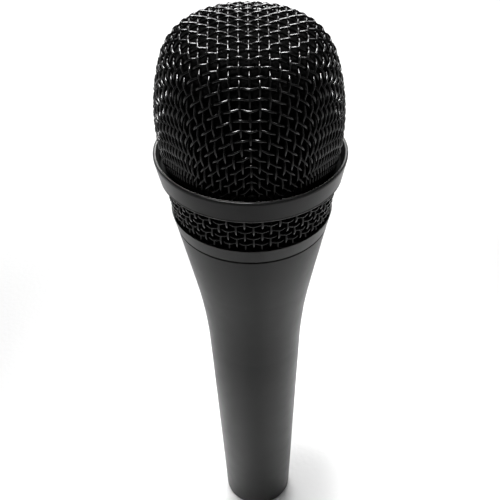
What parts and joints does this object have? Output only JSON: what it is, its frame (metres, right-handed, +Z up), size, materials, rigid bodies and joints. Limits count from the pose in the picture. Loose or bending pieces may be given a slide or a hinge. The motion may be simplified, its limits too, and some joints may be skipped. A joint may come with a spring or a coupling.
{
  "type": "handheld dynamic microphone",
  "caption": "Handheld dynamic vocal microphone: flared metal handle, unscrewing woven wire grille with foam liner, sprung moving-coil capsule and XLR tail.",
  "frame": {"origin": "centre of the handle's flat tail rim", "axes": "+Z up the microphone's axis from the tail to the grille; -Y the front; +Y the side with the insert's screw and the plug's latch recess"},
  "size_m": [0.048, 0.048, 0.18],
  "materials": {
    "handle_paint": "fine satin enamel",
    "collar_paint": "satin enamel",
    "belt_paint": "satin enamel",
    "mesh_paint": "gloss black enamel on woven wire",
    "black_foam": "open-cell foam",
    "insert_plastic": "moulded",
    "pin_plating": "bright nickel plating",
    "screw_steel": "blackened",
    "contact_brass": "spring strip",
    "mount_plastic": "moulded",
    "mount_rubber": "soft moulded rubber",
    "chamber_plastic": "moulded, cream",
    "white_felt": "pressed felt",
    "basket_plastic": "moulded",
    "pot_steel": "turned, zinc plated",
    "magnet_plating": "nickel-plated magnet",
    "coil_copper": "enamelled copper winding",
    "film_plastic": "thin clear film",
    "clamp_brass": "turned ring",
    "cap_plastic": "moulded",
    "screen_cloth": "fine woven cloth",
    "tape_plastic": "winding under amber tape",
    "terminal_board": "laminate",
    "lug_tin": "tinned",
    "lead_red": "insulated lead",
    "lead_black": "insulated lead"
  },
  "bodies": {
    "handle": {"handle": "handle_paint", "xlr_insert": "insert_plastic", "xlr_pin_1": "pin_plating", "xlr_pin_2": "pin_plating", "xlr_pin_3": "pin_plating", "insert_screw": "screw_steel", "ground_contact": "contact_brass", "mount_ring": "mount_plastic", "shock_mount": "mount_rubber", "lead_hot": "lead_red", "lead_cold": "lead_black"},
    "foam_liner": {"dome_foam": "black_foam", "skirt_foam": "black_foam"},
    "grille": {"dome_mesh": "mesh_paint", "skirt_mesh": "mesh_paint", "belt": "belt_paint", "belt_backing_ring": "belt_paint", "collar": "collar_paint"},
    "capsule": {"rear_chamber": "chamber_plastic", "chamber_damper": "white_felt", "capsule_basket": "basket_plastic", "acoustic_felt": "white_felt", "magnet_pot": "pot_steel", "magnet": "magnet_plating", "pole_plate": "pot_steel", "surround": "film_plastic", "clamp_ring": "clamp_brass", "front_cap": "cap_plastic", "front_screen": "screen_cloth", "hum_coil": "tape_plastic", "terminal_disc": "terminal_board", "terminal_lugs": "lug_tin"},
    "diaphragm": {"diaphragm": "film_plastic", "voice_coil": "coil_copper"}
  },
  "joints": [
    {"name": "grille_lift", "type": "slide", "parent": "handle", "child": "foam_liner", "axis": [0, 0, 1], "range_m": [0, 0.006]},
    {"name": "grille_turn", "type": "hinge", "parent": "foam_liner", "child": "grille", "pos_m": [0, 0, 0.1316], "axis": [0, 0, 1], "range_deg": [0, 1440]},
    {"name": "capsule_float", "type": "slide", "parent": "handle", "child": "capsule", "axis": [0, 0, 1], "range_m": [-0.001, 0.001], "stiffness_N_per_m": 1500, "springref_m": 0.0002, "deforming": ["shock_mount", "lead_hot", "lead_cold"]},
    {"name": "diaphragm_travel", "type": "slide", "parent": "capsule", "child": "diaphragm", "axis": [0, 0, 1], "range_m": [-0.0003, 0.0003], "stiffness_N_per_m": 200, "deforming": ["surround"]}
  ],
  "couplings": [
    {"joint": "grille_lift", "follows": "grille_turn", "m_per_rad": 0.00023873}
  ]
}
